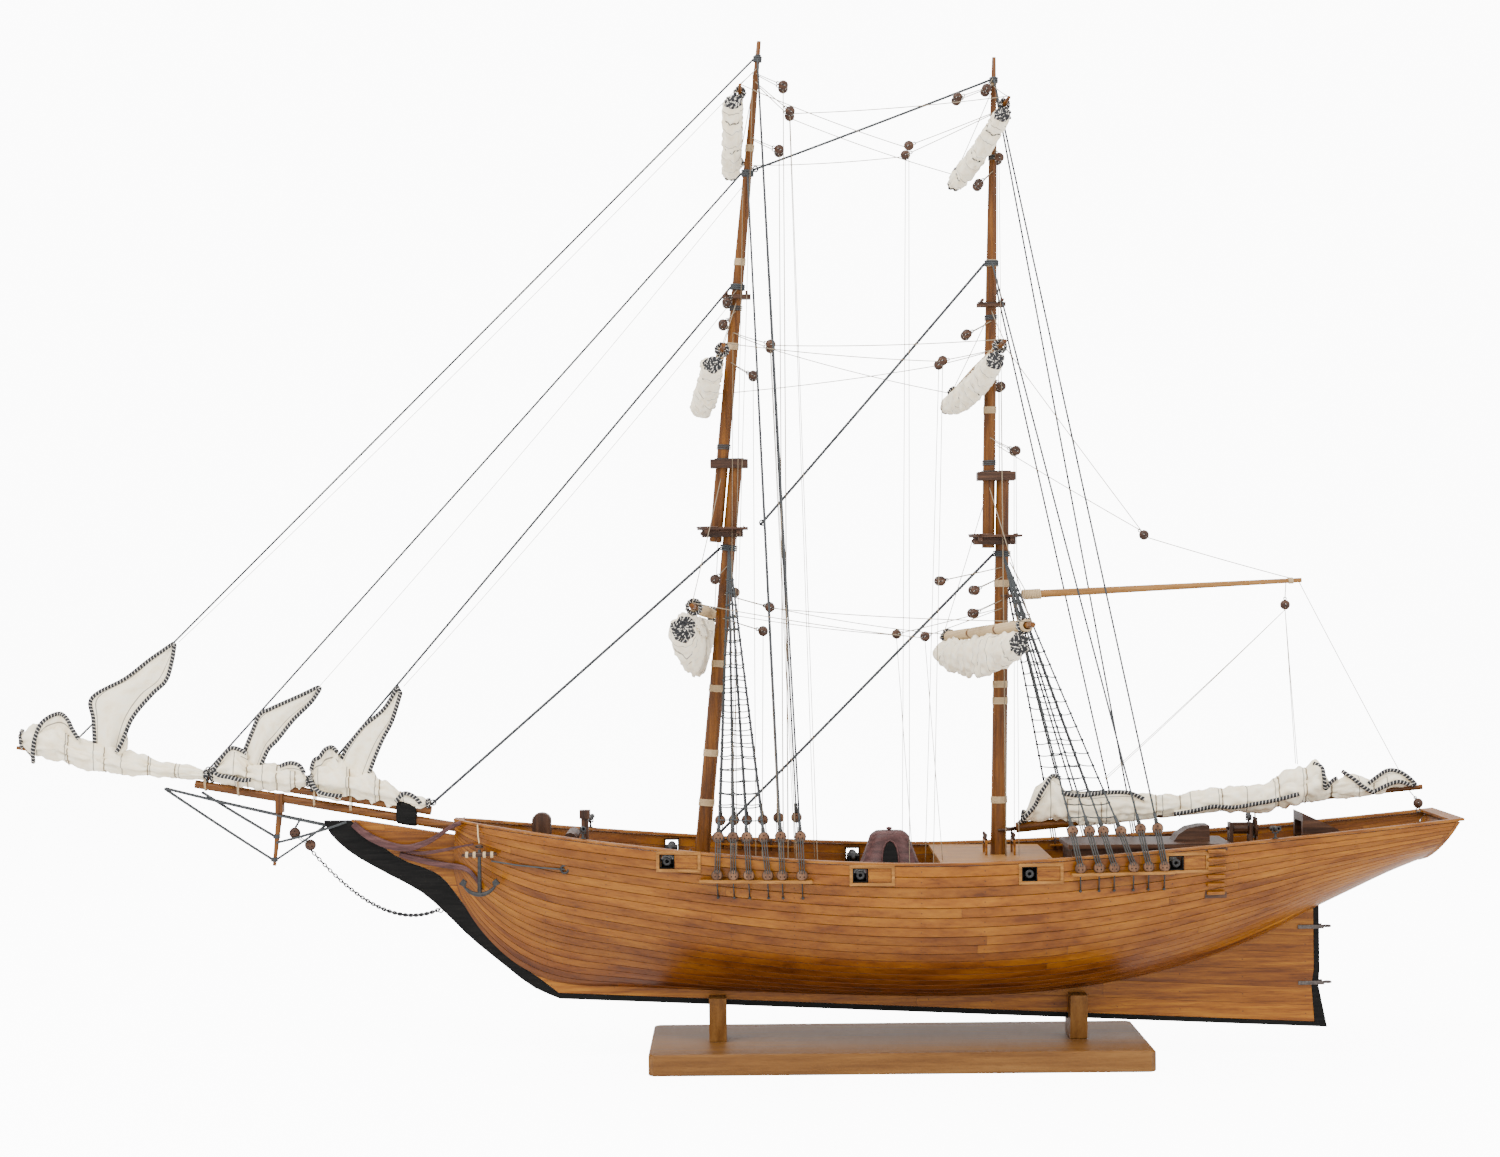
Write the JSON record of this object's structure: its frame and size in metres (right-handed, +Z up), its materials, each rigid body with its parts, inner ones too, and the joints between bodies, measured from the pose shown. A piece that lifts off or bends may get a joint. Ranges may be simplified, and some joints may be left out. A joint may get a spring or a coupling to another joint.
{
  "type": "sailing ship display model",
  "caption": "Wooden plank-on-frame display model of a two-masted square-rigged vessel with furled sails, full standing rigging and a cradle stand.",
  "frame": {"origin": "centre of the base board's underside", "axes": "+Z up, +X aft (the bow points along -X), +Y to starboard"},
  "size_m": [0.8672, 0.2358, 0.6171],
  "materials": {
    "hull_wood": "satin clear varnish over narrow honey-brown planks",
    "deck_wood": "matt oiled deck planks with dark seams",
    "stand_wood": "smooth light brown board with a thin varnish",
    "dark_wood": "satin purple-brown walnut",
    "spar_wood": "satin varnish over turned golden-brown dowel",
    "gaff_wood": "bare pale dowel",
    "black_trim": "satin black stain",
    "canvas": "cream cotton cloth with dark sewn seams",
    "bolt_rope": "pale cord whipped with black thread",
    "standing_rigging": "dark twisted cord",
    "running_rigging": "natural twisted thread",
    "blackened_metal": "blackened cast metal",
    "brass": "small dull brass pins and eyes"
  },
  "bodies": {
    "stand": {"base_board": "stand_wood", "fore_cradle": "stand_wood", "aft_cradle": "stand_wood"},
    "ship": {"keel_frame": "hull_wood", "keel_strip": "black_trim", "planking_port": "hull_wood", "planking_starboard": "hull_wood", "transom": "hull_wood", "main_deck": "deck_wood", "cap_rail": "hull_wood", "bridge_deck": "deck_wood", "galley_hood": "dark_wood", "cabin_trunk": "dark_wood", "stern_companion": "dark_wood", "windlass_bitts": "dark_wood", "wheel_stand": "dark_wood", "bowsprit": "spar_wood", "jib_boom": "spar_wood", "dolphin_striker": "spar_wood", "fore_lower_mast": "spar_wood", "fore_topmast": "spar_wood", "fore_top": "dark_wood", "fore_cap": "dark_wood", "main_lower_mast": "spar_wood", "main_topmast": "spar_wood", "main_top": "dark_wood", "main_cap": "dark_wood", "flying_jib": "canvas", "jib": "canvas", "fore_staysail": "canvas", "fore_channel_port": "hull_wood", "fore_channel_starboard": "hull_wood", "main_channel_port": "hull_wood", "main_channel_starboard": "hull_wood", "fore_lower_rigging": "standing_rigging", "fore_topmast_rigging": "standing_rigging", "fore_jib_rigging": "standing_rigging", "fore_flying_jib_rigging": "standing_rigging", "main_lower_rigging": "standing_rigging", "main_topmast_rigging": "standing_rigging", "main_topgallant_rigging": "standing_rigging", "anchor_port": "blackened_metal", "anchor_starboard": "blackened_metal"},
    "spanker": {"boom": "spar_wood", "boom_sail": "canvas", "gaff": "gaff_wood"},
    "wheel": {"steering_wheel": "dark_wood"},
    "windlass": {"windlass_barrel": "dark_wood"},
    "fore_course": {"fore_course_yard": "spar_wood", "fore_course_sail": "canvas"},
    "fore_topsail": {"fore_topsail_yard": "spar_wood", "fore_topsail_sail": "canvas"},
    "fore_topgallant": {"fore_topgallant_yard": "spar_wood", "fore_topgallant_sail": "canvas"},
    "main_course": {"main_course_yard": "spar_wood", "main_course_sail": "canvas"},
    "main_topsail": {"main_topsail_yard": "spar_wood", "main_topsail_sail": "canvas"},
    "main_topgallant": {"main_topgallant_yard": "spar_wood", "main_topgallant_sail": "canvas"}
  },
  "joints": [
    {"name": "lift_off", "type": "slide", "parent": "stand", "child": "ship", "axis": [0, 0, 1], "range_m": [0, 0.06]},
    {"name": "fore_course_brace", "type": "hinge", "parent": "ship", "child": "fore_course", "pos_m": [-0.10308, 0, 0.272], "axis": [0.0956, 0, 0.9954], "range_deg": [-18, 18]},
    {"name": "fore_topsail_brace", "type": "hinge", "parent": "ship", "child": "fore_topsail", "pos_m": [-0.09758, 0, 0.416], "axis": [0.0956, 0, 0.9954], "range_deg": [-18, 18]},
    {"name": "fore_topgallant_brace", "type": "hinge", "parent": "ship", "child": "fore_topgallant", "pos_m": [-0.08337, 0, 0.564], "axis": [0.0956, 0, 0.9954], "range_deg": [-18, 18]},
    {"name": "main_course_brace", "type": "hinge", "parent": "ship", "child": "main_course", "pos_m": [0.06507, 0, 0.258], "axis": [0.021, 0, 0.9998], "range_deg": [-18, 18]},
    {"name": "main_topsail_brace", "type": "hinge", "parent": "ship", "child": "main_topsail", "pos_m": [0.06005, 0, 0.416], "axis": [0.021, 0, 0.9998], "range_deg": [-18, 18]},
    {"name": "main_topgallant_brace", "type": "hinge", "parent": "ship", "child": "main_topgallant", "pos_m": [0.06299, 0, 0.556], "axis": [0.021, 0, 0.9998], "range_deg": [-18, 18]},
    {"name": "spanker_swing", "type": "hinge", "parent": "ship", "child": "spanker", "pos_m": [0.0626, 0, 0.139], "axis": [0.021, 0, 0.9998], "range_deg": [-20, 20]},
    {"name": "wheel_turn", "type": "hinge", "parent": "ship", "child": "wheel", "pos_m": [0.218, 0, 0.1375], "axis": [1, 0, 0], "continuous": true},
    {"name": "windlass_turn", "type": "hinge", "parent": "ship", "child": "windlass", "pos_m": [-0.196, 0, 0.136], "axis": [0, 1, 0], "continuous": true}
  ]
}
